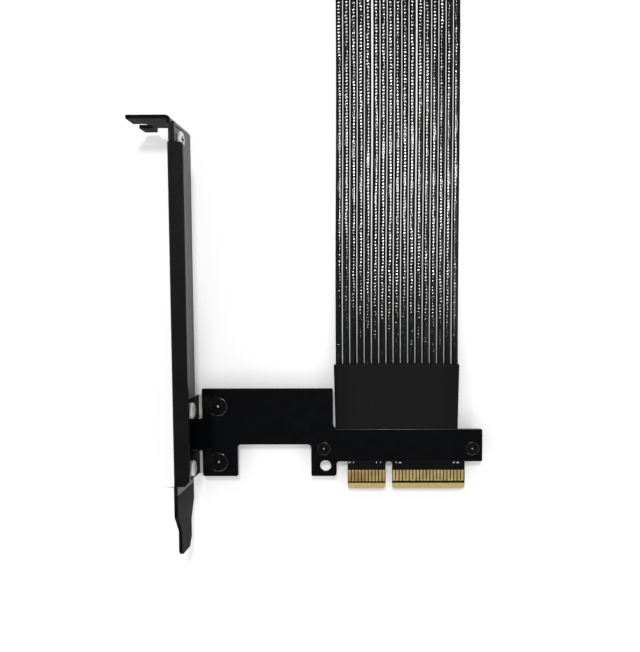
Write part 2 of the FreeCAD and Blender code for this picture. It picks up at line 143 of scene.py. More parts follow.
def noise(tree, vector, scale, detail=2.0):
    """A noise value over the given coordinates."""
    node = tree.nodes.new("ShaderNodeTexNoise")
    node.inputs["Detail"].default_value = detail
    tree.links.new(vector, node.inputs["Vector"])
    if isinstance(scale, bpy.types.NodeSocket):
        tree.links.new(scale, node.inputs["Scale"])
    else:
        node.inputs["Scale"].default_value = scale
    return node.outputs[0]


def spread(tree, value, start, end, low, high):
    """A value that goes from low to high while the given one goes from start to end."""
    node = tree.nodes.new("ShaderNodeMapRange")
    for socket, number in zip(node.inputs[1:5], (start, end, low, high)):
        socket.default_value = number
    tree.links.new(value, node.inputs["Value"])
    return node.outputs[0]


def own_place(tree):
    """The coordinates of the piece itself."""
    return tree.nodes.new("ShaderNodeTexCoord").outputs["Object"]


def pebbled_skin():
    """Fine pebbles and broad tone of a sprayed or moulded skin, by grain size in millimetres."""
    group, given, out = effect("Pebbled skin", [("Grain", 0.3)], ["Height", "Tone"])
    place = own_place(group)
    fine = calc(group, "DIVIDE", 1 / MM, given.outputs["Grain"])
    pebbles = noise(group, place, fine, 3.0)
    broad = noise(group, place, calc(group, "MULTIPLY", fine, 0.06), 2.0)
    group.links.new(pebbles, out.inputs["Height"])
    half = calc(group, "MULTIPLY", pebbles, 0.5)
    group.links.new(calc(group, "MULTIPLY_ADD", broad, 0.5, half), out.inputs["Tone"])
    return group


def place_effect(material, group, **values):
    """Puts a shared effect in a material, with its own values."""
    node = material.node_tree.nodes.new("ShaderNodeGroup")
    node.node_tree = group
    for label, value in values.items():
        node.inputs[label].default_value = value
    return node


def finish_of(name, group, size, shades, rough, depth, stops=(0.35, 0.65), **sockets):
    """A material with plain shader values under an effect of the given size. The effect's tone runs
    between two shades and two roughnesses, and its height raises the skin by a depth in millimetres."""
    material = bpy.data.materials.new(name)
    material.use_nodes = True
    tree = material.node_tree
    shader = tree.nodes["Principled BSDF"]
    for label, value in sockets.items():
        shader.inputs[label.replace("_", " ")].default_value = value
    texture = place_effect(material, group)
    texture.inputs[0].default_value = size
    tone = texture.outputs["Tone"]
    ramp = tree.nodes.new("ShaderNodeValToRGB")
    for k in (0, 1):
        ramp.color_ramp.elements[k].position = stops[k]
        ramp.color_ramp.elements[k].color = shades[k]
    tree.links.new(tone, ramp.inputs[0])
    tree.links.new(ramp.outputs[0], shader.inputs["Base Color"])
    tree.links.new(spread(tree, tone, *TONE_RANGE, *rough), shader.inputs["Roughness"])
    bump = tree.nodes.new("ShaderNodeBump")
    bump.inputs["Strength"].default_value = 1.0
    bump.inputs["Distance"].default_value = depth * MM
    tree.links.new(texture.outputs["Height"], bump.inputs["Height"])
    tree.links.new(bump.outputs[0], shader.inputs["Normal"])
    return material


skin = pebbled_skin()
black_paint = finish_of("Black powder coat", skin, 0.32, PAINT, rough=(0.27, 0.36), depth=0.008,
                        Specular_IOR_Level=0.295)
# A copy of the coat with almost no reflection, for the tab and the tongue: painted shade.
shaded_paint = finish_of("Black powder coat, painted shade", skin, 0.32, PAINT, rough=(0.50, 0.60), depth=0.008,
                       Specular_IOR_Level=0.05)

bracket = whole_faces("slot_bracket", "bracket_sheet")
bpy.ops.object.mode_set(mode="EDIT")
bpy.ops.mesh.select_all(action="SELECT")
bpy.ops.mesh.bisect(plane_co=(0, edge_y + TONGUE_TOP, 0), plane_no=(0, 1, 0))
bpy.ops.object.mode_set(mode="OBJECT")
break_edges(bracket, BRACKET_EDGE)
dress(bracket, black_paint, "black_paint", "slot_bracket")
bracket.data.materials.append(shaded_paint)
# The tab and the tongue take the shaded copy of the coat: painted shade.
for face in bracket.data.polygons:
    tab_in_shade = face.center.y > edge_y + TAB_TOP and face.normal.x < 0.3
    tongue_in_shade = face.center.y < edge_y + TONGUE_TOP
    face.material_index = 1 if tab_in_shade or tongue_in_shade else 0

# Corner clips
# Two short strips of thick steel, bent square, tapped and nickel plated, bright at the edges. The foot's
# top gets a lighter matt copy of the plating as painted light, and the leg's inner face a near-black copy
# as painted shade.
# The leg is screwed to the bracket, the foot to the plate.
CLIP_EDGE = 0.18 * MM
FOOT_T = 1.5 * MM
LEG_T = 2.0 * MM
CLIP_BEND = 0.25 * MM
CLIP_FOOT_TOP = 6.0 * MM
BRIGHT_NICKEL = ((0.50, 0.49, 0.46, 1.0), (0.74, 0.73, 0.70, 1.0))
LIT_FOOT_NICKEL = ((0.72, 0.71, 0.68, 1.0), (0.90, 0.89, 0.86, 1.0))
SHADE_NICKEL = ((0.008, 0.008, 0.008, 1.0), (0.018, 0.018, 0.018, 1.0))


def stretched(tree, vector, scale):
    """Coordinates scaled along each axis."""
    mapping = tree.nodes.new("ShaderNodeMapping")
    mapping.inputs["Scale"].default_value = scale
    tree.links.new(vector, mapping.inputs["Vector"])
    return mapping.outputs[0]


def drawn_lines():
    """Fine straight lines left by rolling or brushing along Y, by their spacing in millimetres."""
    group, given, out = effect("Drawn lines", [("Spacing", 0.1)], ["Height", "Tone"])
    place = own_place(group)
    scale = calc(group, "DIVIDE", 1 / MM, given.outputs["Spacing"])
    fine = noise(group, stretched(group, place, (1.0, 0.06, 1.0)), scale, 3.0)
    group.links.new(fine, out.inputs["Height"])
    cloud = noise(group, place, 260.0, 2.0)
    share = calc(group, "MULTIPLY", fine, 0.4)
    group.links.new(calc(group, "MULTIPLY_ADD", cloud, 0.6, share), out.inputs["Tone"])
    return group


def select_faces(piece, test):
    """In edit mode, selects the faces that pass a test on centre and normal."""
    bpy.ops.object.mode_set(mode="OBJECT")
    for part in (piece.data.vertices, piece.data.edges):
        part.foreach_set("select", [False] * len(part))
    for face in piece.data.polygons:
        face.select = test(face.center, face.normal)
    bpy.ops.object.mode_set(mode="EDIT")
    bpy.ops.mesh.select_mode(type="FACE")


def select_edges(piece, test):
    """In edit mode, selects the edges whose two ends pass a test."""
    bpy.ops.object.mode_set(mode="EDIT")
    bpy.ops.mesh.select_mode(type="EDGE")
    bpy.ops.mesh.select_all(action="DESELECT")
    bpy.ops.object.mode_set(mode="OBJECT")
    for edge in piece.data.edges:
        edge.select = test(*(piece.data.vertices[i].co for i in edge.vertices))
    bpy.ops.object.mode_set(mode="EDIT")


def square_clip(name, node):
    """A strip bent square, in a node's place: a foot along X and a leg up from its left end."""
    low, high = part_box(node)
    middle = (low + high) / 2
    bpy.ops.object.select_all(action="DESELECT")
    bpy.ops.mesh.primitive_cube_add(size=1.0, location=(middle.x, middle.y, low.z + FOOT_T / 2))
    clip = bpy.context.object
    clip.name = name
    clip.scale = (high.x - low.x, high.y - low.y, FOOT_T)
    bpy.ops.object.transform_apply(location=True, rotation=True, scale=True)
    bpy.ops.object.mode_set(mode="EDIT")
    bpy.ops.mesh.select_all(action="SELECT")
    bpy.ops.mesh.bisect(plane_co=(low.x + LEG_T, 0, 0), plane_no=(1, 0, 0))
    select_faces(clip, lambda centre, normal: normal.z > 0.9 and centre.x < low.x + LEG_T)
    bpy.ops.mesh.extrude_region_move(TRANSFORM_OT_translate={"value": (0, 0, high.z - low.z - FOOT_T)})
    bend = Vector((low.x + LEG_T, 0.0, low.z + FOOT_T))
    select_edges(clip, lambda a, b: max((a - bend).xz.length, (b - bend).xz.length) < 0.01 * MM)
    bpy.ops.mesh.bevel(offset=CLIP_BEND, segments=4, affect="EDGES")
    bpy.ops.object.mode_set(mode="OBJECT")
    return clip


lines = drawn_lines()
bright_plating = finish_of("Bright plating", lines, 0.12, BRIGHT_NICKEL, rough=(0.10, 0.18), depth=0.003,
                           Metallic=1.0)
# A lighter, matt copy of the plating for the foot's top: painted light.
lit_foot_plating = finish_of("Plating, painted light", lines, 0.12, LIT_FOOT_NICKEL, rough=(0.36, 0.46), depth=0.003,
                         Metallic=0.4)
# A near-black copy without reflection, for the leg's inner face and the screw recesses: painted shade.
shade_plating = finish_of("Plating, painted shade", lines, 0.12, SHADE_NICKEL, rough=(0.25, 0.35), depth=0.003,
                   Specular_IOR_Level=0.01)

for end in ("upper", "lower"):
    clip = square_clip(end + "_clip", end + "_corner_clip")
    break_edges(clip, CLIP_EDGE)
    dress(clip, bright_plating, "bright_plating", end + "_corner_clip")
    clip.data.materials.append(lit_foot_plating)
    clip.data.materials.append(shade_plating)
    # The foot's top takes the lit copy and the leg's inner face the shaded copy: painted light and shade.
    for face in clip.data.polygons:
        foot_in_light = face.normal.z > 0.85 and face.center.z < CLIP_FOOT_TOP
        leg_in_shade = face.normal.x > 0.5
        face.material_index = 1 if foot_in_light else 2 if leg_in_shade else 0

# Bracket screws
# Three bright plated machine screws with domed pan heads, rounded rims and a cross recess painted dark as
# shade.
# Two hold the clips to the bracket from the inner side, one fills the hole near the tab.
SCREW_SIDES = 40
DOME_RINGS = 7
CLIP_CROWN = 0.35 * MM
TOP_CROWN = 0.16 * MM
TOP_HEIGHT = 0.65 * MM
M3_RADIUS = 1.5 * MM
HEAD_RADIUS = 2.3 * MM
HEAD_RIM = 2.2 * MM
HEAD_HEIGHT = 1.3 * MM
RIM_ROUND = 0.14 * MM
SHANK_ROUND = 0.18
PAN_RECESS = (2.7 * MM, 0.75 * MM, 0.9 * MM)
RECESS_REACH = 1.45 * MM
RECESS_FLOOR = -0.3 * MM
BRIGHT_SCREW = ((0.86, 0.85, 0.83, 1.0), (0.96, 0.95, 0.93, 1.0))
WORN_STEEL = ((0.06, 0.06, 0.06, 1.0), (0.15, 0.15, 0.15, 1.0))


def cross_cutter(span, width, depth, top):
    """Two tapered blades and a point that cut a cross recess, with their upper side at the given height."""
    cutters = []
    for turn, taper in ((0, (0.45, 0.8, 1.0)), (90, (0.8, 0.45, 1.0))):
        bpy.ops.mesh.primitive_cube_add(size=1.0, location=(0, 0, top - depth / 2))
        blade = bpy.context.object
        blade.scale = (span, width, depth)
        blade.rotation_euler.z = math.radians(turn)
        bpy.ops.object.transform_apply(location=True, rotation=True, scale=True)
        select_faces(blade, lambda centre, normal: normal.z < -0.9)
        bpy.ops.transform.resize(value=taper)
        bpy.ops.object.mode_set(mode="OBJECT")
        cutters.append(blade)
    point = 0.6 * width
    bpy.ops.mesh.primitive_cone_add(vertices=24, radius1=0.0, radius2=point, depth=0.38 * point,
                                    location=(0, 0, top - depth - 0.17 * point))
    cutters.append(bpy.context.object)
    bpy.ops.object.transform_apply(location=True, rotation=True, scale=True)
    return cutters


def cut_recess(screw, recess, top, above, smooth):
    """Cuts a cross recess (span, width, depth) below a height, with blades that start above it,
    and shades the screw smooth up to an angle in degrees."""
    span, width, depth = recess
    for cutter in cross_cutter(span, width, depth + above, top + above):
        apply_modifier(screw, "BOOLEAN", operation="DIFFERENCE", solver="EXACT", object=cutter)
        bpy.data.objects.remove(cutter)
    alone(screw)
    bpy.ops.object.shade_smooth_by_angle(angle=math.radians(smooth))


def draw_shank(length, shank):
    """In edit mode, draws the selected end of a screw down to its shank's end, and rounds that."""
    bpy.ops.mesh.extrude_region_move(TRANSFORM_OT_translate={"value": (0, 0, -length)})
    bpy.ops.mesh.bevel(offset=SHANK_ROUND * shank, segments=2, affect="EDGES")
    bpy.ops.object.mode_set(mode="OBJECT")


def cross_screw(name, radius, height, shank, length, crown, recess):
    """A screw along +Z with its head's seat at the origin: head above, shank below.
    crown is how high its dome stands over the rim."""
    rim = height - crown
    bpy.ops.object.select_all(action="DESELECT")
    bpy.ops.mesh.primitive_cylinder_add(vertices=SCREW_SIDES, radius=radius, depth=rim,
                                        location=(0, 0, rim / 2))
    screw = bpy.context.object
    screw.name = name
    bpy.ops.object.transform_apply(location=True, rotation=True, scale=True)
    select_faces(screw, lambda centre, normal: normal.z > 0.9)
    ball = (radius ** 2 + crown ** 2) / (2 * crown)
    reach, risen = radius, 0.0
    for ring in range(1, DOME_RINGS):
        nearer = radius * (1.0 - ring / DOME_RINGS)
        higher = math.sqrt(ball ** 2 - nearer ** 2) - (ball - crown)
        bpy.ops.mesh.inset(thickness=reach - nearer, depth=higher - risen)
        reach, risen = nearer, higher
    select_edges(screw, lambda a, b: min(a.z, b.z) > 0.99 * rim
                 and min(a.xy.length, b.xy.length) > 0.99 * radius)
    bpy.ops.mesh.bevel(offset=RIM_ROUND, segments=3, affect="EDGES")
    select_faces(screw, lambda centre, normal: normal.z < -0.9)
    bpy.ops.mesh.inset(thickness=radius - shank, depth=0.0)
    draw_shank(length, shank)
    cut_recess(screw, recess, height, height, 35)
    return screw


def set_screw(pattern, name, seat, outward):
    """A copy of a screw with its own mesh, seated at a point with its head outward."""
    piece = bpy.data.objects.new(name, pattern.data.copy())
    bpy.context.scene.collection.objects.link(piece)
    turn = Vector(outward).to_track_quat("Z", "Y").to_matrix().to_4x4()
    piece.data.transform(Matrix.Translation(seat) @ turn)
    return piece


bright_screw = finish_of("Bright screw plating", lines, 0.08, BRIGHT_SCREW, rough=(0.24, 0.34),
                         depth=0.002, Metallic=0.15)
worn_steel = finish_of("Worn screw steel", lines, 0.06, WORN_STEEL, rough=(0.24, 0.30), depth=0.002,
                       Metallic=1.0)


def shade_recess(screw, seat, rim):
    """Paints the inside of the recess of a screw whose head points along +X near black, as shade."""
    screw.data.materials.append(shade_plating)
    for face in screw.data.polygons:
        from_seat = face.center - Vector(seat)
        inside = from_seat.yz.length < RECESS_REACH and RECESS_FLOOR < from_seat.x < rim
        face.material_index = 1 if inside else 0


clip_low, clip_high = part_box("clip_to_bracket_screws")
clip_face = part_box("upper_corner_clip")[0].x + LEG_T
pan_pattern = cross_screw("pan_screw_pattern", HEAD_RIM, HEAD_HEIGHT, M3_RADIUS, clip_face - clip_low.x,
                          CLIP_CROWN, PAN_RECESS)
for name, y in (("upper_clip_screw", clip_high.y - HEAD_RADIUS),
                ("lower_clip_screw", clip_low.y + HEAD_RADIUS)):
    seat = (clip_face, y, clip_low.z + HEAD_RADIUS)
    screw = set_screw(pan_pattern, name, seat, (1, 0, 0))
    dress(screw, bright_screw, "bright_screw", "clip_to_bracket_screws")
    shade_recess(screw, seat, HEAD_HEIGHT - CLIP_CROWN)
bpy.data.objects.remove(pan_pattern)

top_low, top_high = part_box("bracket_top_screw")
top_seat = (top_high.x - TOP_HEIGHT, top_low.y + HEAD_RADIUS, top_low.z + HEAD_RADIUS)
top_pattern = cross_screw("top_screw_pattern", HEAD_RIM, TOP_HEIGHT, M3_RADIUS, top_seat[0] - top_low.x,
                          TOP_CROWN, PAN_RECESS)
screw = set_screw(top_pattern, "tab_end_screw", top_seat, (1, 0, 0))
dress(screw, bright_screw, "bright_screw", "bracket_top_screw")
shade_recess(screw, top_seat, TOP_HEIGHT - TOP_CROWN)
bpy.data.objects.remove(top_pattern)

# Mounting plate
# Flat aluminium sheet, cut to an outline with two legs, drilled, countersunk and anodised black.
# It lies on the clip feet and on the board, and a few specks of dust lie on it.
PLATE_EDGE = 0.14 * MM
TONGUE_BACK = 1.9 * MM
TONGUE_FIT = 0.38 * MM
ANODISED = ((0.0016, 0.0019, 0.0026, 1.0), (0.0027, 0.0031, 0.0040, 1.0))
DUST = (0.20, 0.20, 0.20, 1.0)


def dust_specks():
    """A sparse mask of small round specks: cell size in millimetres, and the share of cells with one."""
    group, given, out = effect("Dust specks", [("Cell", 6.0), ("Share", 0.2)], ["Mask"])
    cells = group.nodes.new("ShaderNodeTexVoronoi")
    group.links.new(own_place(group), cells.inputs["Vector"])
    group.links.new(calc(group, "DIVIDE", 1 / MM, given.outputs["Cell"]), cells.inputs["Scale"])
    parts = group.nodes.new("ShaderNodeSeparateColor")
    group.links.new(cells.outputs["Color"], parts.inputs[0])
    size = calc(group, "MULTIPLY_ADD", parts.outputs[1], 0.016, 0.008)
    speck = calc(group, "LESS_THAN", cells.outputs["Distance"], size)
    chosen = calc(group, "LESS_THAN", parts.outputs[0], given.outputs["Share"])
    group.links.new(calc(group, "MULTIPLY", speck, chosen), out.inputs["Mask"])
    return group


def over(material, mask, layer):
    """Lays a colour over the base colour where the mask is 1."""
    tree = material.node_tree
    base = tree.nodes["Principled BSDF"].inputs["Base Color"]
    mix = tree.nodes.new("ShaderNodeMix")
    mix.data_type = "RGBA"
    tree.links.new(mask, mix.inputs["Factor"])
    tree.links.new(base.links[0].from_socket, mix.inputs["A"])
    mix.inputs["B"].default_value = layer
    tree.links.new(mix.outputs["Result"], base)


black_plate = finish_of("Black anodised sheet", skin, 0.18, ANODISED, rough=(0.19, 0.25), depth=0.004,
                        Specular_IOR_Level=0.30)
specks = place_effect(black_plate, dust_specks(), Cell=6.5, Share=0.22)
over(black_plate, specks.outputs["Mask"], DUST)

plate = whole_faces("mounting_plate", "plate_sheet")
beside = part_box("clip_to_plate_screws")[0].x
for way in (1, -1):
    select_faces(plate, lambda centre, normal: normal.y * way > 0.9 and centre.x < beside - TONGUE_BACK)
    bpy.ops.transform.translate(value=(0, way * TONGUE_FIT, 0))
    bpy.ops.object.mode_set(mode="OBJECT")
break_edges(plate, PLATE_EDGE)
dress(plate, black_plate, "black_plate", "mounting_plate")

# Clip to plate screws
# Two black oxide flat-head screws with a cross recess, sunk in the plate's countersinks.
# Their rounded rims stand a hair proud and are rubbed to bare steel. The recess's point takes the
# near-white screw plating, partly wear and partly a painted highlight.
FLAT_RADIUS = 2.71 * MM
FLAT_DEPTH = 1.0 * MM
FLAT_PROUD = 0.02 * MM
FLAT_RECESS = (2.3 * MM, 0.55 * MM, 0.5 * MM)
RIM_WIDTH = 0.17 * MM
RIM_RINGS = ((0.05, 0.032), (0.05, 0.02), (0.06, 0.008))
BLACK_OXIDE = ((0.0018, 0.0018, 0.0021, 1.0), (0.0034, 0.0034, 0.0038, 1.0))

black_screw = finish_of("Black oxide screw", skin, 0.12, BLACK_OXIDE, rough=(0.22, 0.30), depth=0.003,
                        Specular_IOR_Level=0.36)


def flat_screw(name, radius, depth, shank, length, recess):
    """A countersunk screw along +Z with its flat top at the origin."""
    bpy.ops.object.select_all(action="DESELECT")
    bpy.ops.mesh.primitive_cone_add(vertices=SCREW_SIDES, radius1=shank, radius2=radius, depth=depth,
                                    location=(0, 0, -depth / 2))
    screw = bpy.context.object
    screw.name = name
    bpy.ops.object.transform_apply(location=True, rotation=True, scale=True)
    select_faces(screw, lambda centre, normal: normal.z > 0.9)
    for width, rise in RIM_RINGS:
        bpy.ops.mesh.inset(thickness=width * MM, depth=rise * MM)
    select_faces(screw, lambda centre, normal: normal.z < -0.9)
    draw_shank(length - depth, shank)
    cut_recess(screw, recess, 0.0, recess[2], 30)
    return screw


def wear_and_glint_screw(screw, seat, radius, recess):
    """Bares the steel on a black head's rim, and gives the point at the bottom of its recess the near-white
    plating: wear there, and a painted highlight.
    """
    screw.data.materials.append(worn_steel)
    screw.data.materials.append(bright_screw)
    for face in screw.data.polygons:
        off = (face.center.xy - seat.xy).length
        on_rim = off > radius - RIM_WIDTH and face.normal.z > 0.5
        at_bottom = off < 0.7 * recess[1] and face.center.z < seat.z - recess[2]
        glint_point = at_bottom and 0.8 < face.normal.z < 0.97
        face.material_index = 1 if on_rim else 2 if glint_point else 0


flat_low, flat_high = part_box("clip_to_plate_screws")
flat_half = (flat_high.x - flat_low.x) / 2
flat_pattern = flat_screw("flat_screw_pattern", FLAT_RADIUS, FLAT_DEPTH, M3_RADIUS,
                          flat_high.z - flat_low.z, FLAT_RECESS)
for name, y in (("upper_flat_screw", flat_high.y - flat_half),
                ("lower_flat_screw", flat_low.y + flat_half)):
    seat = Vector((flat_low.x + flat_half, y, flat_high.z + FLAT_PROUD))
    screw = set_screw(flat_pattern, name, seat, (0, 0, 1))
    dress(screw, black_screw, "black_screw", "clip_to_plate_screws")
    wear_and_glint_screw(screw, seat, FLAT_RADIUS, FLAT_RECESS)
bpy.data.objects.remove(flat_pattern)

# Edge board
# Glass-fibre board with a black mask, cut with a key notch and bevelled along the card edge.
# Below the mask the bare brown laminate shows between the contacts, and tan glass on the bevel.
BOARD_EDGE = 0.05 * MM
MASK_BOTTOM = 5.85 * MM
BEVEL_TOP = 1.8 * MM
BEVEL_GRAIN = 900.0
BLACK_MASK = ((0.0030, 0.0030, 0.0034, 1.0), (0.0052, 0.0052, 0.0058, 1.0))
SHORT_GAP = ((0.008, 0.004, 0.0013, 1.0), (0.010, 0.005, 0.001625, 1.0))
LONG_GAP = (0.005, 0.002, 0.0013, 1.0)
BEVEL_TAN = (0.55, 0.40, 0.15, 1.0)
BEVEL_PALE = (0.84, 0.67, 0.31, 1.0)


def axes(tree, vector):
    """A vector's X, Y and Z."""
    parts = tree.nodes.new("ShaderNodeSeparateXYZ")
    tree.links.new(vector, parts.inputs[0])
    return parts.outputs


board_mask = finish_of("Black board mask", skin, 0.4, BLACK_MASK, rough=(0.22, 0.30), depth=0.004,
                       Specular_IOR_Level=0.36)
laminate = finish_of("Board edge laminate", skin, 0.25, SHORT_GAP, rough=(0.5, 0.65), depth=0.01,
                     Specular_IOR_Level=0.2)
tree = laminate.node_tree
place = own_place(tree)
where = axes(tree, place)
over(laminate, calc(tree, "GREATER_THAN", where["X"], key_x), LONG_GAP)
bevel_mask = calc(tree, "LESS_THAN", where["Y"], edge_y + BEVEL_TOP)
over(laminate, bevel_mask, BEVEL_TAN)
over(laminate, calc(tree, "MULTIPLY", bevel_mask, noise(tree, place, BEVEL_GRAIN)), BEVEL_PALE)

board = whole_faces("edge_board", "card_edge_board")
bpy.ops.object.mode_set(mode="EDIT")
bpy.ops.mesh.select_all(action="SELECT")
bpy.ops.mesh.bisect(plane_co=(0, edge_y + MASK_BOTTOM, 0), plane_no=(0, 1, 0))
bpy.ops.object.mode_set(mode="OBJECT")
break_edges(board, BOARD_EDGE, 1)
dress(board, board_mask, "board_mask", "edge_board")
board.data.materials.append(laminate)
for face in board.data.polygons:
    cut_side = abs(face.normal.z) < 0.3
    face.material_index = 1 if face.center.y < edge_y + MASK_BOTTOM or cut_side else 0

# Pin numbers
# White ink printed on the mask beside the first and last contacts of each group.
# The plate covers the upper part of them.
INK_HEIGHT = 1.2 * MM
INK_BASE = 7.7
INK_T = 0.012 * MM
DIGIT_SHARE = 0.7
DIGIT_SPACE = 1.35
DIGIT_WEIGHT = 0.025
PIN_NUMBERS = (("01", -10.9), ("11", -3.0), ("12", 2.7), ("32", 19.6))
WHITE_INK = ((0.62, 0.62, 0.62, 1.0), (0.86, 0.86, 0.85, 1.0))

ink = finish_of("White board ink", skin, 0.08, WHITE_INK, rough=(0.55, 0.7), depth=0.004,
                Specular_IOR_Level=0.3)


def joined(pieces, name):
    """Joins pieces into the first of them, under a name of its own."""
    alone(pieces[0])
    for piece in pieces[1:]:
        piece.select_set(True)
    bpy.ops.object.join()
    pieces[0].name = name
    return pieces[0]


numbers = []
for digits, x in PIN_NUMBERS:
    bpy.ops.object.select_all(action="DESELECT")
    bpy.ops.object.text_add()
    text = bpy.context.object
    text.data.body = digits
    text.data.size = 1.0
    text.data.align_x = "CENTER"
    text.data.space_character = DIGIT_SPACE
    text.data.offset = DIGIT_WEIGHT
    text.data.extrude = 0.5
    text.data.resolution_u = 3
    bpy.ops.object.convert(target="MESH")
    number = bpy.context.object
    size = INK_HEIGHT / DIGIT_SHARE
    base = at(x, INK_BASE, board_high.z / MM) + Vector((0, 0, INK_T / 2))
    number.data.transform(Matrix.Translation(base) @ Matrix.Diagonal((size, size, INK_T, 1.0)))
    numbers.append(number)
dress(joined(numbers, "pin_numbers"), ink, "board_mask")

# Edge contacts
# Hard gold plated copper pads on both faces of the card edge, etched from the board's own foil.
# In the long group short bars of the same foil tie some feet together, and the feet end darker.
GOLD = ((0.50, 0.34, 0.12, 1.0), (0.80, 0.60, 0.25, 1.0))
GOLD_PALE = (0.92, 0.71, 0.33, 1.0)
GOLD_TOP = 4.9 * MM
GOLD_FADE = 0.7 * MM
PALE_TOP = 0.7
PALE_LONG = 0.5
FOOT_DARK = (0.07, 0.042, 0.016, 1.0)
FOOT_LINE = 2.5 * MM
TIE_Y = 2.62
TIE_HEIGHT = 0.45 * MM
TIE_T = 0.055 * MM
TIE_OVERHANG = 0.62
TIE_EDGE = 0.02 * MM
TIE_GROUPS = ((1.5, 2.5), (3.5, 3.5), (4.5, 5.5), (6.5, 7.5), (8.5, 8.5), (9.5, 11.5), (12.5, 12.5),
              (13.5, 15.5), (16.5, 16.5), (17.5, 18.5), (19.5, 19.5), (20.5, 21.5))

gold = finish_of("Gold plating", lines, 0.09, GOLD, rough=(0.48, 0.60), depth=0.004, Metallic=1.0)
tree = gold.node_tree
where = axes(tree, own_place(tree))
near_top = spread(tree, where["Y"], edge_y + GOLD_TOP, edge_y + GOLD_TOP + GOLD_FADE, 0.0, PALE_TOP)
long_group = calc(tree, "GREATER_THAN", where["X"], key_x)
over(gold, calc(tree, "MAXIMUM", calc(tree, "MULTIPLY", long_group, PALE_LONG), near_top), GOLD_PALE)
at_foot = calc(tree, "LESS_THAN", where["Y"], edge_y + FOOT_LINE)
over(gold, calc(tree, "MULTIPLY", long_group, at_foot), FOOT_DARK)


def wear_gold(pads):
    """Gives a row of contacts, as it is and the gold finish."""
    pads.data.materials.clear()
    pads.data.materials.append(gold)


for side in ("front", "back"):
    wear_gold(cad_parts["edge_contacts_" + side])
    bars = []
    z = board_high.z / MM if side == "front" else board_low.z / MM
    for first, last in TIE_GROUPS:
        bpy.ops.object.select_all(action="DESELECT")
        bpy.ops.mesh.primitive_cube_add(size=1.0)
        bar = bpy.context.object
        bar.scale = ((last - first + TIE_OVERHANG) * MM, TIE_HEIGHT, 2 * TIE_T)
        bar.location = at((first + last) / 2, TIE_Y, z)
        bpy.ops.object.transform_apply(location=True, rotation=True, scale=True)
        bpy.ops.object.mode_set(mode="EDIT")
        bpy.ops.mesh.select_all(action="SELECT")
        bpy.ops.mesh.bevel(offset=TIE_EDGE, segments=1, affect="EDGES")
        bpy.ops.object.mode_set(mode="OBJECT")
        bars.append(bar)
    dress(joined(bars, "contact_ties_" + side), gold, "gold_contact")

# Board screws and nuts
# Two small black pan-head screws clamp the board under the plate, with plain hexagon nuts below.
# The heads are low, with a cross recess and a worn rim; the nuts are zinc plated steel.
BOARD_HEAD_RADIUS = 1.95 * MM
BOARD_HEAD_HEIGHT = 0.9 * MM
BOARD_CROWN = 0.16 * BOARD_HEAD_HEIGHT
BOARD_RECESS = (1.7 * MM, 0.42 * MM, 0.55 * MM)
M2_RADIUS = 1.0 * MM
NUT_EDGE = 0.18 * MM
ZINC = ((0.42, 0.43, 0.44, 1.0), (0.60, 0.61, 0.62, 1.0))

screw_low, screw_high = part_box("board_screws")
seat_z = screw_high.z - BOARD_HEAD_HEIGHT
small_pattern = cross_screw("small_screw_pattern", BOARD_HEAD_RADIUS, BOARD_HEAD_HEIGHT, M2_RADIUS,
                            seat_z - screw_low.z, BOARD_CROWN, BOARD_RECESS)
middle_y = (screw_low.y + screw_high.y) / 2
for name, x in (("left_board_screw", screw_low.x + BOARD_HEAD_RADIUS),
                ("right_board_screw", screw_high.x - BOARD_HEAD_RADIUS)):
    screw = set_screw(small_pattern, name, (x, middle_y, seat_z), (0, 0, 1))
    dress(screw, black_screw, "black_screw", "board_screws")
    # Worn rim, and the recess's point in near-white plating: wear and a painted highlight.
    wear_and_glint_screw(screw, Vector((x, middle_y, screw_high.z)), BOARD_HEAD_RADIUS, BOARD_RECESS)
bpy.data.objects.remove(small_pattern)

zinc = finish_of("Zinc plated steel", skin, 0.2, ZINC, rough=(0.3, 0.45), depth=0.004, Metallic=1.0)
nuts = whole_faces("board_nuts", "hexagon_nuts")
break_edges(nuts, NUT_EDGE)
dress(nuts, zinc, "plain_nut", "board_nuts")

# Cable boot
# A sleeve of black cloth tape wrapped round the board's cable end, over the soldered strips.
# It is soft at its long edges, which are painted darker as shade, bowed a little at its mouth, and the
# strips show through as faint ribs.
BOOT_R = 0.9 * MM
BOOT_BOW = 0.30 * MM
BOOT_RIB = 0.035 * MM
BOOT_DRAWN = (0.35 * MM, 0.45 * MM)
BOOT_CELL = (0.35 * MM, 0.7 * MM)
STRIP_PITCH = 2.112
STRIP_FIRST = -14.5
CLOTH = ((0.0075, 0.0075, 0.0077, 1.0), (0.0140, 0.0140, 0.0144, 1.0))
CLOTH_EDGE_SHADE = (0.0050, 0.0050, 0.0052, 1.0)


def woven_tape():
    """Plain weave of a thin tape: thread pitch in millimetres."""
    group, given, out = effect("Woven tape", [("Thread", 0.3)], ["Height", "Tone"])
    place = own_place(group)
    where = axes(group, place)
    turn = calc(group, "DIVIDE", 2 * math.pi / MM, given.outputs["Thread"])
    across = calc(group, "SINE", calc(group, "MULTIPLY", where["X"], turn))
    along = calc(group, "SINE", calc(group, "MULTIPLY", where["Y"], turn))
    woven = calc(group, "MULTIPLY_ADD", calc(group, "MULTIPLY", across, along), 0.25, 0.5)
    streak = noise(group, stretched(group, place, (1.0, 0.08, 1.0)), 2600.0, 2.0)
    fibre = noise(group, place, 9000.0, 2.0)
    group.links.new(calc(group, "MULTIPLY_ADD", fibre, 0.35, woven), out.inputs["Height"])
    mixed = calc(group, "MULTIPLY_ADD", streak, 0.45, calc(group, "MULTIPLY", woven, 0.3))
    group.links.new(calc(group, "MULTIPLY_ADD", fibre, 0.25, mixed), out.inputs["Tone"])
    return group


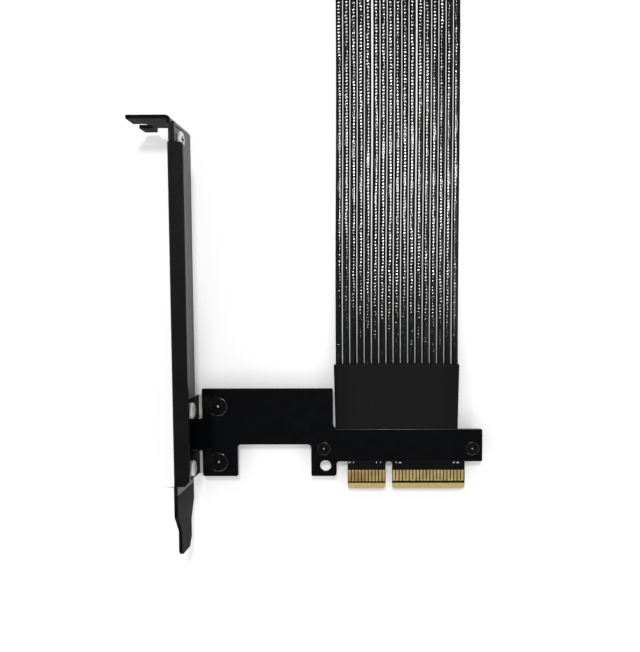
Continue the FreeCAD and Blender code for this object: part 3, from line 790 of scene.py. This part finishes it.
cloth = finish_of("Black cloth tape", woven_tape(), 0.30, CLOTH, rough=(0.62, 0.8), depth=0.02,
                  stops=(0.3, 0.7), Specular_IOR_Level=0.12, Sheen_Weight=0.03, Sheen_Roughness=0.5)
# Darker towards the long edges, by a mask stored on the sleeve: painted shade.
edge_shade = cloth.node_tree.nodes.new("ShaderNodeAttribute")
edge_shade.attribute_name = "edge_shade"
over(cloth, edge_shade.outputs["Fac"], CLOTH_EDGE_SHADE)


def cloth_boot(name, node, mouth, low_corners, bow):
    """A boxy sleeve in a node's place, its strips' mouth at the end that mouth names (1 or -1 along Y).
    low_corners are how far the two far corners are drawn in, left and right."""
    low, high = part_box(node)
    size = high - low
    bpy.ops.object.select_all(action="DESELECT")
    bpy.ops.mesh.primitive_cube_add(size=1.0, location=(low + high) / 2)
    boot = bpy.context.object
    boot.name = name
    boot.scale = size
    bpy.ops.object.transform_apply(location=True, rotation=True, scale=True)
    select_edges(boot, lambda a, b: abs(a.y - b.y) > 0.5 * size.y)
    bpy.ops.mesh.bevel(offset=BOOT_R, segments=4, affect="EDGES")
    across, along = round(size.x / BOOT_CELL[0]), round(size.y / BOOT_CELL[1])
    for i in range(1, across):
        bpy.ops.mesh.select_all(action="SELECT")
        x = low.x + BOOT_R + (size.x - 2 * BOOT_R) * i / across
        bpy.ops.mesh.bisect(plane_co=(x, 0, 0), plane_no=(1, 0, 0))
    for i in range(1, along):
        bpy.ops.mesh.select_all(action="SELECT")
        bpy.ops.mesh.bisect(plane_co=(0, low.y + size.y * i / along, 0), plane_no=(0, 1, 0))
    bpy.ops.object.mode_set(mode="OBJECT")
    first_rib = key_x + STRIP_FIRST * MM
    # A mask that rises towards the long edges, for the painted shade there.
    edge = [abs(2.0 * (v.co.x - low.x) / size.x - 1.0) ** 5 for v in boot.data.vertices]
    boot.data.attributes.new("edge_shade", "FLOAT", "POINT").data.foreach_set("value", edge)
    for vertex in boot.data.vertices:
        p = vertex.co
        share = (p.y - low.y) / size.y if mouth > 0 else (high.y - p.y) / size.y
        middle = 1.0 - (2.0 * (p.x - low.x) / size.x - 1.0) ** 2
        rib = math.cos(2 * math.pi * (p.x - first_rib) / (STRIP_PITCH * MM))
        if p.z > low.z + 0.6 * size.z and low.x + BOOT_R < p.x < high.x - BOOT_R:
            p.z += BOOT_RIB * (rib - 1.0) * share ** 2
        p.y += mouth * bow * middle * share ** 4
        side = low_corners[0] if p.x < (low.x + high.x) / 2 else -low_corners[1]
        p.x += side * (1.0 - share) * abs(2.0 * (p.x - low.x) / size.x - 1.0)
    alone(boot)
    bpy.ops.object.shade_smooth_by_angle(angle=math.radians(40))
    return boot


boot = cloth_boot("cable_sleeve", "cable_boot", 1, BOOT_DRAWN, BOOT_BOW)
dress(boot, cloth, "cloth_wrap", "cable_boot")

# Far end
# The other end of the cable, finished plainly: a cloth boot, a small black board that lies flat,
# and an upright black plastic slot with two rows of gold spring contacts.
FAR_EDGE = 0.15 * MM
PLASTIC = ((0.010, 0.010, 0.011, 1.0), (0.017, 0.017, 0.018, 1.0))

slot_plastic = finish_of("Black slot plastic", skin, 0.25, PLASTIC, rough=(0.38, 0.5), depth=0.01,
                         Specular_IOR_Level=0.5)
far_sleeve = cloth_boot("far_sleeve", "far_boot", -1, (0.0, 0.0), 0.0)
dress(far_sleeve, cloth, "cloth_wrap", "far_boot")
far_sheet = whole_faces("far_board", "far_end_board")
break_edges(far_sheet, BOARD_EDGE, 1)
dress(far_sheet, board_mask, "board_mask", "far_board")
socket = whole_faces("slot_housing", "slot_body")
break_edges(socket, FAR_EDGE)
dress(socket, slot_plastic, "slot_plastic", "slot_housing")
springs = [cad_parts["slot_contacts_" + row + "_row"] for row in ("near", "far")]
for row in springs:
    wear_gold(row)

# Cable strips
# Seventeen flat pairs of wires side by side, each wrapped in a tight glossy black braid, whose sides take a
# copy without reflection as painted shade.
# They leave the sleeve together, come down to the surface and run straight to the far end.
STRIP_COUNT = 17
STRIP_WIDTH = 1.85
STRIP_T = 1.1
LAY_PITCH = 2.082
LAY_FIRST = -13.96
GROUP_GAPS = ((5, 0.34), (11, 0.22))
ROUTE_Y = (36.5, 62.0, 112.0, 162.0, 211.0, 236.5)
ROUTE_Z = (2.5, 2.5, 0.7, 0.62, 2.25, 2.25)
ROUTE_LAY = (0.0, 0.0, 1.0, 1.0, 0.0, 0.0)
SECTION_POINTS = 18
SECTION_POWER = 3.2
SHADE_SIDE_FROM = 0.58
VALLEY = 0.012
VALLEY_WIDTH = 0.25
ROLL = math.radians(0.9)
ROLL_WAVES = (0.031, 0.057, 0.093)
STEADY_END = 0.006
WRAP_PITCH = 0.93
WRAP_STARTS = 2.0
WRAP_DEPTH = 0.041
RIDGE_POWER = 2.2
RINGS_PER_PITCH = 4
START_RANGE = 40.0
WRAP_BLACK = ((0.003, 0.003, 0.0033, 1.0), (0.007, 0.007, 0.0074, 1.0))


def strip_route(i):
    """The route's points for one strip, in metres."""
    at_boot = STRIP_FIRST + i * STRIP_PITCH
    laid = LAY_FIRST + i * LAY_PITCH + sum(gap for after, gap in GROUP_GAPS if i >= after)
    points = []
    for y, z, lay in zip(ROUTE_Y, ROUTE_Z, ROUTE_LAY):
        points.append(at(at_boot + (laid - at_boot) * lay, y, z))
    return points


def smooth_line(points):
    """Points along the smooth spline that has the route's points as its control points."""
    curve = bpy.data.curves.new("route", "CURVE")
    curve.dimensions = "3D"
    spline = curve.splines.new("NURBS")
    spline.points.add(len(points) - 1)
    for point, place in zip(spline.points, points):
        point.co = (*place, 1.0)
    spline.order_u = 3
    spline.use_endpoint_u = True
    spline.resolution_u = 40
    route = bpy.data.objects.new("route", curve)
    mesh = bpy.data.meshes.new_from_object(route)
    line = np.array([v.co for v in mesh.vertices])
    bpy.data.objects.remove(route)
    bpy.data.curves.remove(curve)
    bpy.data.meshes.remove(mesh)
    return line


def wrapped_strip(name, line, draw):
    """A flat braided strip along a line: section points across, rings along. draw rolls it a little and
    starts its wrap anywhere."""
    steps = np.linalg.norm(np.diff(line, axis=0), axis=1)
    run = np.concatenate([[0.0], np.cumsum(steps)])
    rings = int(run[-1] / (WRAP_PITCH * MM) * RINGS_PER_PITCH)
    s = np.linspace(0.0, run[-1], rings)
    centre = np.stack([np.interp(s, run, line[:, k]) for k in range(3)], axis=1)
    ahead = np.gradient(centre, axis=0)
    ahead /= np.linalg.norm(ahead, axis=1)[:, None]
    side = np.cross(ahead, (0.0, 0.0, 1.0))
    side /= np.linalg.norm(side, axis=1)[:, None]
    up = np.cross(side, ahead)
    ends = np.clip(np.minimum(s, run[-1] - s) / STEADY_END, 0.0, 1.0)
    roll = np.zeros(rings)
    for wave in ROLL_WAVES:
        roll += ROLL * np.sin(2 * math.pi * (s / wave + draw.random()))
    roll *= ends
    angle = np.linspace(0.0, 2 * math.pi, 2001)
    power = 2.0 / SECTION_POWER
    round_x = STRIP_WIDTH / 2 * np.sign(np.cos(angle)) * np.abs(np.cos(angle)) ** power
    round_z = STRIP_T / 2 * np.sign(np.sin(angle)) * np.abs(np.sin(angle)) ** power
    girth = np.concatenate([[0.0], np.cumsum(np.hypot(np.diff(round_x), np.diff(round_z)))])
    u = (np.arange(SECTION_POINTS) + 0.5) / SECTION_POINTS
    x = np.interp(u * girth[-1], girth, round_x)
    z = np.interp(u * girth[-1], girth, round_z)
    z = z - VALLEY * np.exp(-(x / VALLEY_WIDTH) ** 2) * (z > 0)
    start = START_RANGE * draw.random()
    across = np.tile(x * MM, (rings, 1))
    height = np.tile(z * MM, (rings, 1))
    c, d = np.cos(roll)[:, None], np.sin(roll)[:, None]
    across, height = across * c - height * d, across * d + height * c
    points = centre[:, None, :] + side[:, None, :] * across[..., None] + up[:, None, :] * height[..., None]
    n = SECTION_POINTS
    i = np.arange(rings - 1)[:, None] * n
    j = np.arange(n)[None, :]
    k = (np.arange(n) + 1)[None, :] % n
    faces = np.stack([i + j, i + j + n, i + k + n, i + k], axis=-1).reshape(-1, 4)
    caps = [list(range(n)), list(range((rings - 1) * n, rings * n))[::-1]]
    mesh = bpy.data.meshes.new(name)
    mesh.from_pydata(points.reshape(-1, 3).tolist(), [], faces.tolist() + caps)
    mesh.update()
    unwrapped = mesh.uv_layers.new(name="wrap")
    corner = np.zeros(len(mesh.loops), np.int32)
    mesh.loops.foreach_get("vertex_index", corner)
    across_uv = (corner % n + 0.5) / n
    seam = np.zeros(len(mesh.loops))
    quads = len(faces) * 4
    last = np.tile(np.arange(n) == n - 1, rings - 1)
    seam[:quads] = np.repeat(last, 4) * np.tile([0.0, 0.0, 1.0, 1.0], len(faces))
    along_uv = s[corner // n] / (WRAP_PITCH * MM) + start
    unwrapped.data.foreach_set("uv", np.stack([across_uv + seam, along_uv], axis=1).ravel())
    mesh.polygons.foreach_set("use_smooth", [True] * len(faces) + [False] * 2)
    # Faces towards the sides take the copy without reflection: painted shade.
    on_shaded_side = np.abs(x + np.roll(x, -1)) / 2 > SHADE_SIDE_FROM * STRIP_WIDTH / 2
    mesh.polygons.foreach_set("material_index", np.tile(on_shaded_side, rings - 1).tolist() + [0, 0])
    strip = bpy.data.objects.new(name, mesh)
    bpy.context.scene.collection.objects.link(strip)
    return strip


def wrap_turns():
    """Round-topped turns with sharp grooves between them, crossed here and there by turns that lean
    the other way, from the wrap's own coordinates."""
    group, given, out = effect("Wrap turns", [("Starts", 2.0)], ["Height", "Tone"])
    wrap = group.nodes.new("ShaderNodeUVMap")
    wrap.uv_map = "wrap"
    place = wrap.outputs[0]
    where = axes(group, place)
    uneven = noise(group, stretched(group, place, (9.0, 1.0, 1.0)), 1.3, 2.0)
    drift = noise(group, place, 0.12, 1.0)
    along = calc(group, "MULTIPLY_ADD", uneven, 0.3, where["Y"])
    ridges = []
    for lean in (1.0, -1.0):
        leaning = calc(group, "MULTIPLY", given.outputs["Starts"], lean)
        around = calc(group, "MULTIPLY", where["X"], leaning)
        turn = calc(group, "FRACT", calc(group, "ADD", along, around))
        off = calc(group, "ABSOLUTE", calc(group, "MULTIPLY_ADD", turn, 2.0, -1.0))
        ridges.append(calc(group, "SUBTRACT", 1.0, calc(group, "POWER", off, RIDGE_POWER)))
    share = spread(group, drift, 0.42, 0.62, 0.0, 0.55)
    crossing = calc(group, "MULTIPLY", calc(group, "SUBTRACT", ridges[1], ridges[0]), share)
    crest = calc(group, "ADD", ridges[0], crossing)
    deep = calc(group, "MULTIPLY", crest, calc(group, "MULTIPLY_ADD", drift, 1.2, 0.4))
    group.links.new(calc(group, "MULTIPLY_ADD", uneven, 0.12, deep), out.inputs["Height"])
    group.links.new(uneven, out.inputs["Tone"])
    return group


jacket = finish_of("Glossy black wrap", wrap_turns(), WRAP_STARTS, WRAP_BLACK, rough=(0.06, 0.10),
                   depth=WRAP_DEPTH, Specular_IOR_Level=0.95)
# A copy of the wrap without reflection, for the strips' sides: painted shade.
shaded_jacket_side = jacket.copy()
shaded_jacket_side.name = "Black wrap side, painted shade"
shaded_jacket_side.node_tree.nodes["Principled BSDF"].inputs["Specular IOR Level"].default_value = 0.0

draw = np.random.default_rng(7)
for i in range(STRIP_COUNT):
    line = smooth_line(strip_route(i))
    strip = wrapped_strip("strip_%02d" % (i + 1), line, draw)
    shaded_side_faces = [face.material_index for face in strip.data.polygons]
    dress(strip, jacket, "strip_jacket", "cable_strip_%02d" % (i + 1))
    strip.data.materials.append(shaded_jacket_side)
    strip.data.polygons.foreach_set("material_index", shaded_side_faces)

# Floor, light and camera
# A plain white floor under soft studio light, seen from above as in the photograph.
# The floor is darker close under the cable end, where the light hardly reaches.
PAPER = (0.86, 0.86, 0.86, 1.0)
GLOW = 0.485
SHADE_REACH = 7.0 * MM
SHADE_START = 64.0 * MM
SHADE_FULL = 40.0 * MM
SHADE_MOST = 0.85
SKY = 0.10

bpy.context.scene.view_settings.view_transform = "Standard"
bpy.ops.object.select_all(action="DESELECT")
bpy.ops.mesh.primitive_plane_add(size=4.0, location=(0.02, 0.05, -0.0001))
floor = bpy.context.object
floor.name = "floor"
bpy.ops.object.transform_apply(location=True, rotation=True, scale=True)
floor_white = bpy.data.materials.new("White floor")
floor_white.use_nodes = True
tree = floor_white.node_tree
tree.nodes.clear()
surface = tree.nodes.new("ShaderNodeOutputMaterial")
paper = tree.nodes.new("ShaderNodeBsdfDiffuse")
paper.inputs["Color"].default_value = PAPER
glow = tree.nodes.new("ShaderNodeEmission")
rays = tree.nodes.new("ShaderNodeLightPath").outputs
seen = calc(tree, "MAXIMUM", rays["Is Camera Ray"], rays["Is Glossy Ray"])
seen = calc(tree, "MAXIMUM", seen, rays["Is Transmission Ray"])
corner = tree.nodes.new("ShaderNodeAmbientOcclusion")
corner.inputs["Distance"].default_value = SHADE_REACH
where = axes(tree, own_place(tree))
under = spread(tree, where["Y"], edge_y + SHADE_START, edge_y + SHADE_FULL, 0.0, SHADE_MOST)
closed = calc(tree, "SUBTRACT", 1.0, corner.outputs["AO"])
open_share = calc(tree, "SUBTRACT", 1.0, calc(tree, "MULTIPLY", closed, under))
lit = calc(tree, "MULTIPLY", seen, open_share)
tree.links.new(calc(tree, "MULTIPLY", lit, GLOW), glow.inputs["Strength"])
both = tree.nodes.new("ShaderNodeAddShader")
tree.links.new(paper.outputs[0], both.inputs[0])
tree.links.new(glow.outputs[0], both.inputs[1])
tree.links.new(both.outputs[0], surface.inputs["Surface"])
floor.data.materials.append(floor_white)

world = bpy.data.worlds.new("Studio")
bpy.context.scene.world = world
world.use_nodes = True
tree = world.node_tree
background = tree.nodes["Background"]
background.inputs["Color"].default_value = (1.0, 1.0, 1.0, 1.0)
rays = tree.nodes.new("ShaderNodeLightPath").outputs
sky = calc(tree, "MULTIPLY_ADD", rays["Is Camera Ray"], 1.0 - SKY, SKY)
tree.links.new(sky, background.inputs["Strength"])


def soft_box(name, place, target, width, length, watts):
    """A rectangular lamp that faces a target."""
    lamp = bpy.data.lights.new(name, "AREA")
    lamp.shape = "RECTANGLE"
    lamp.size = width
    lamp.size_y = length
    lamp.energy = watts
    box = bpy.data.objects.new(name, lamp)
    box.location = place
    box.rotation_euler = (Vector(target) - Vector(place)).to_track_quat("-Z", "Y").to_euler()
    bpy.context.scene.collection.objects.link(box)


soft_box("overhead_box", at(5, 200, 404), at(5, 200, 0), 0.045, 0.045, 0.73)
soft_box("left_box", at(-560, 120, 380), at(-10, 60, 0), 0.50, 0.50, 0.8)
soft_box("right_box", at(560, -60, 330), at(-10, 60, 0), 0.70, 0.70, 1.1)
soft_box("front_box", at(0, -560, 420), at(-10, 40, 0), 0.80, 0.50, 1.5)

lens = bpy.data.cameras.new("camera")
lens.lens = 38.25
lens.sensor_width = 36.0
lens.shift_x = -0.1025
lens.shift_y = 0.0316
lens.clip_start = 0.01
camera = bpy.data.objects.new("camera", lens)
camera.location = at(1.135, 53.25, 204.27)
camera.rotation_euler = (-0.057, 0.00785, -0.0029)
bpy.context.scene.collection.objects.link(camera)
bpy.context.scene.camera = camera
